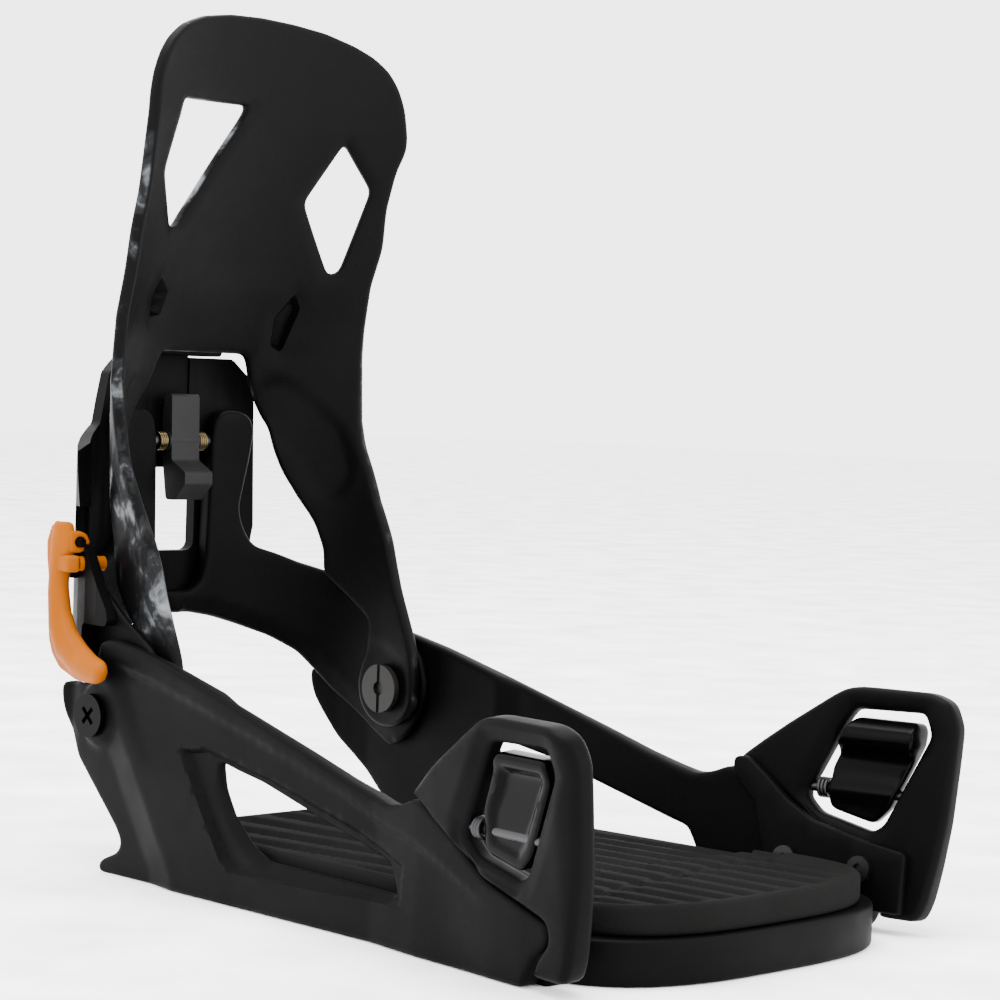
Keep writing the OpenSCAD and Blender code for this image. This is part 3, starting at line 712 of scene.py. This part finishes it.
def catch_inner(y, z):
    """The inner face: a barrel round the pin, and the jaw, a bar 6 mm deep with a rounded lip along the top."""
    barrel = 1.2 * np.exp(-((z - 37) / 2.6) ** 2)
    jaw = 5.6 * smooth(46.5, 51.5, z) * smooth(59.5, 54, z)
    return -5.9 - barrel - jaw


catch = plate("toe_catch_flap_medial", catch_rim, [], catch_inner, catch_outer, hook_frame,
              edge=0.9, grid=1.1, arcs=4)
for side, flap in (("medial", catch), ("lateral", mirrored("toe_catch_flap_lateral", catch))):
    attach(flap, "catch_" + side)
    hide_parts("toe_catch_" + side)
    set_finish(flap, "gloss_black")
by_slot["gloss_black"] = finish("gloss black", (0.0006, 0.0006, 0.0007), 0.2, 900.0, 0.04, specular=0.035)


# ---------------------------------------------------------------------------
# The ramp is a hollow nylon toe piece. The two footbeds are moulded EVA foam
# glued on the ramp and floor, ribbed along the foot, with a raised toe lip.
# ---------------------------------------------------------------------------
def toe_curve(half, reach, rear):
    """A blunt toe: half of a rounded square, x = half |cos t|^(2/3) and y = -60 - reach sin t^(2/3), with its
    sides running back to the rear edge."""
    t = np.radians(np.arange(0, 181, 4.0))
    x = half * np.sign(np.cos(t)) * np.abs(np.cos(t)) ** (2 / 3)
    y = -60 - reach * np.sin(t) ** (2 / 3)
    return [(half, rear)] + list(zip(x, y)) + [(-half, rear)]


ramp_rim = soft_loop(toe_curve(58.9, 40.9, -50.2), 0.8, 1.4)
ramp = plate("toe_ramp_shell", ramp_rim, [], level(0.1), level(11.9), plan, edge=1.3, grid=5, arcs=3)
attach(ramp, "chassis")
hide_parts("toe_ramp")
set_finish(ramp, "base_plastic")

front_line = toe_curve(54.3, 38.9, -44.5)
front_rim = soft_loop(front_line, 1.0, 1.2)


RIB_PITCH = 9.6


def ribs_along(x, y):
    """Rounded ribs along the foot: a sharpened cosine across it, stepped aside along a slanting line of
    notches."""
    notch = np.exp(-(((y + 66) - 0.16 * (x + 20)) / 2.2) ** 2)
    phase = (x + 0.018 * (y + 70) * np.abs(x) / 8 + 2.6 * notch) / RIB_PITCH
    return smooth(-0.35, 0.25, np.cos(2 * np.pi * phase))


def front_top(x, y):
    """Foam top: ribs 1.3 mm high inside a plain lip that rises 0.9 mm at the rim."""
    away = to_line(x, y, front_line[1:-1])
    lip = 0.9 * smooth(1.5, 6, away)
    return 20.0 - lip - 1.3 * (1 - ribs_along(x, y)) * smooth(6, 9.5, away)


front_pad = plate("footbed_front_foam", front_rim, [], level(12.05), front_top, plan,
                  edge=1.6, grid=1.15, arcs=4)
rear_half = [(56.0, -43.3), (54.4, 20), (50.8, 62), (46.8, 93.8)]
rear_line = rear_half + [(-x, y) for x, y in rear_half[::-1]]
rear_rim = soft_loop(rear_line, 1.6, 1.4)


def rear_top(x, y):
    """Foam top: ribs 1.4 mm high inside a plain rim."""
    away = to_line(x, y, rear_line + rear_line[:1])
    return 16.9 - 1.4 * (1 - ribs_along(x, y)) * smooth(3, 6, away)


rear_pad = plate("footbed_rear_foam", rear_rim, [], level(6.1), rear_top, plan, edge=1.6, grid=1.6, arcs=3)
for pad, node in ((front_pad, "footbed_front"), (rear_pad, "footbed_rear")):
    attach(pad, "chassis")
    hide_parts(node)
    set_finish(pad, "footbed_foam")
by_slot["footbed_foam"] = finish("charcoal foam", (0.0052, 0.0051, 0.005), 0.9, 1500.0, 0.9, specular=0.02)


# ---------------------------------------------------------------------------
# The release lever is a curved orange nylon blade on the outer rear corner,
# hinged near its top. The rider pulls its lower tab outwards.
# ---------------------------------------------------------------------------
def lever_frame(y, z, w):
    """The lever's own frame: w outwards from its inner face, turned 10 degrees about Z onto the heel's
    corner."""
    turn = np.radians(-10)
    y0 = y - 112
    across = -58.9 - w * np.cos(turn) - y0 * np.sin(turn)
    along = 112 - w * np.sin(turn) + y0 * np.cos(turn)
    return np.column_stack([across, along, z])


lever_line = [(129.5, 98.5), (130.6, 102.8), (136, 103.2), (140.8, 101), (143.4, 97), (143, 91.5),
              (141.6, 85.6), (141.3, 72.6), (140.4, 67), (138, 62.8), (133, 59), (123, 56.6), (112, 56.3),
              (107.4, 57.6), (105.7, 60.5), (107.2, 63.4), (113.3, 64.8), (120, 67.5), (126.4, 71.3),
              (130.6, 76.6), (132.8, 84), (132, 89), (129.8, 93.5)]
lever_rim = soft_loop(lever_line, 0.9, 0.7)
lever_spine = [(133.6, 102), (135.6, 92), (136.6, 82), (135.6, 72), (131, 65.6), (122, 61.8), (108, 60)]


def lever_outer(y, z):
    """5.1 mm thick along its middle, falling to 3.6 mm at its edges, and thinner towards the tab's tip."""
    return 5.1 - 1.5 * smooth(0.8, 4.5, to_line(y, z, lever_spine)) - 0.9 * smooth(118, 106, y)


def lever_inner(y, z):
    """The inner face, hollowed round the tower's ear."""
    return 0.05 + 2.5 * ((y > 132.9) & (y < 140.1) & (z > 90)).astype(float)


def lug_place(out, z, y):
    """A point of a lug, drawn across the blade and up it, with its thickness along the blade's width."""
    return lever_frame(y, z, out)


blade = plate("release_lever_blade", lever_rim, [], lever_inner, lever_outer, lever_frame,
              edge=1.6, grid=1.2, arcs=4)
arm_rim = soft_loop([(126.9, 88.1), (126.9, 93.1), (135, 93.1), (135, 88.1)], 0.6, 0.6)
arm = plate("release_lever_arm", arm_rim, [], level(0.05), level(4.3), lever_frame,
            edge=0.8, grid=1.4, arcs=3)
lug_rim = soft_loop([(2.2, 93.7), (-1, 93.7), (-3.3, 94.7), (-4.3, 97), (-3.3, 99.3), (-1, 100.3),
                     (2.2, 100.3)], 0.5, 0.5)
lug_hole = round_hole(-1, 97, 1.56, 0.4)
lugs = []
for number, start in enumerate((129.2, 140.2)):
    lugs.append(plate("release_lever_lug_%d" % number, lug_rim, [lug_hole], level(start), level(start + 3.6),
                      lug_place, edge=0.5, grid=1.2, arcs=2))
for piece in [blade, arm] + lugs:
    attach(piece, "lever")
    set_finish(piece, "orange_plastic")
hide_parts("release_lever")
by_slot["orange_plastic"] = finish("orange nylon", (0.21, 0.052, 0.0), 0.45, 2600.0, 0.15, specular=0.03)


# ---------------------------------------------------------------------------
# The pins, screws, springs, bushes, claw, disc and tower keep the shapes they
# are made with: plated or sintered steel, bronze, spring wire, and nylon for
# the tower and disc.
# ---------------------------------------------------------------------------
by_slot["steel"] = finish("satin steel", (0.03, 0.03, 0.032), 0.36, 1800.0, 0.1, metal=1.0)
by_slot["latch_metal"] = finish("sintered steel", (0.005, 0.005, 0.0055), 0.42, 2400.0, 0.4, specular=0.12)
by_slot["bush_metal"] = finish("bearing bronze", (0.14, 0.09, 0.045), 0.35, 1800.0, 0.1, metal=1.0)
by_slot["pivot_metal"] = finish("grey-brown anodised", (0.006, 0.0055, 0.005), 0.42, 2000.0, 0.2, specular=0.15)
by_slot["spring_gold"] = finish("passivated wire", (0.10, 0.075, 0.035), 0.3, 1500.0, 0.05, metal=1.0)
for part in frame["record"]["subparts"]:
    node = frame["nodes"][part["node"]]
    node.data.materials.clear()
    node.data.materials.append(by_slot[part["material_slot"]])
for piece in list(bpy.data.objects):
    if piece.type == "MESH" and piece.get("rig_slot"):
        piece.data.materials.clear()
        piece.data.materials.append(by_slot[piece["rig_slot"]])


# ---------------------------------------------------------------------------
# The camera stands low, off the outer side of the toe, on a pale floor with no
# markings.
# ---------------------------------------------------------------------------
azimuth = np.radians(-44.90)
pitch = np.radians(2.12)
roll = np.radians(1.86)
stand = (-0.56310, -0.55745, 0.14488)
back_way = np.array([np.sin(azimuth) * np.cos(pitch), -np.cos(azimuth) * np.cos(pitch), np.sin(pitch)])
right = np.array([np.cos(azimuth), np.sin(azimuth), 0.0])
up = np.cross(back_way, right)
cam_x = np.cos(roll) * right + np.sin(roll) * up
cam_y = -np.sin(roll) * right + np.cos(roll) * up
camera_data = bpy.data.cameras.new("camera")
camera_data.sensor_width = 36
camera_data.lens = 102.30
camera_data.clip_end = 20
camera = bpy.data.objects.new("camera", camera_data)
bpy.context.collection.objects.link(camera)
rows = np.column_stack([cam_x, cam_y, back_way, stand])
camera.matrix_world = Matrix(rows.tolist() + [[0, 0, 0, 1]])
bpy.context.scene.camera = camera

floor_mesh = bpy.data.meshes.new("floor")
floor_mesh.from_pydata([(-6, -6, 0), (6, -6, 0), (6, 6, 0), (-6, 6, 0)], [], [(0, 1, 2, 3)])
floor = bpy.data.objects.new("floor", floor_mesh)
bpy.context.collection.objects.link(floor)
floor.data.materials.append(finish("pale floor", (0.93, 0.93, 0.93), 0.9, 40.0, 0.0, specular=0.05))


# ---------------------------------------------------------------------------
# A pale studio: an even white glow all round, a wide softbox overhead, one off
# the outer side and one off the toe.
# ---------------------------------------------------------------------------
world = bpy.data.worlds.new("studio")
world.use_nodes = True
world.node_tree.nodes["Background"].inputs["Color"].default_value = (1, 1, 1, 1)
world.node_tree.nodes["Background"].inputs["Strength"].default_value = 4.2
bpy.context.scene.world = world


def softbox(name, place, aim, size, power):
    """A rectangular lamp at a place, turned to face its aim."""
    light = bpy.data.lights.new(name, "AREA")
    light.shape = "RECTANGLE"
    light.size, light.size_y = size
    light.energy = power
    lamp = bpy.data.objects.new(name, light)
    bpy.context.collection.objects.link(lamp)
    lamp.location = place
    lamp.rotation_euler = (Vector(aim) - Vector(place)).to_track_quat("-Z", "Y").to_euler()


softbox("overhead", (-0.1, 0.1, 1.5), (0, 0, 0.1), (1.0, 1.0), 40)
softbox("outer_side", (-1.5, 0.2, 0.7), (0, 0.05, 0.1), (0.8, 1.0), 9)
softbox("toe_side", (0.5, -1.5, 0.6), (0, 0, 0.12), (0.9, 0.7), 18)
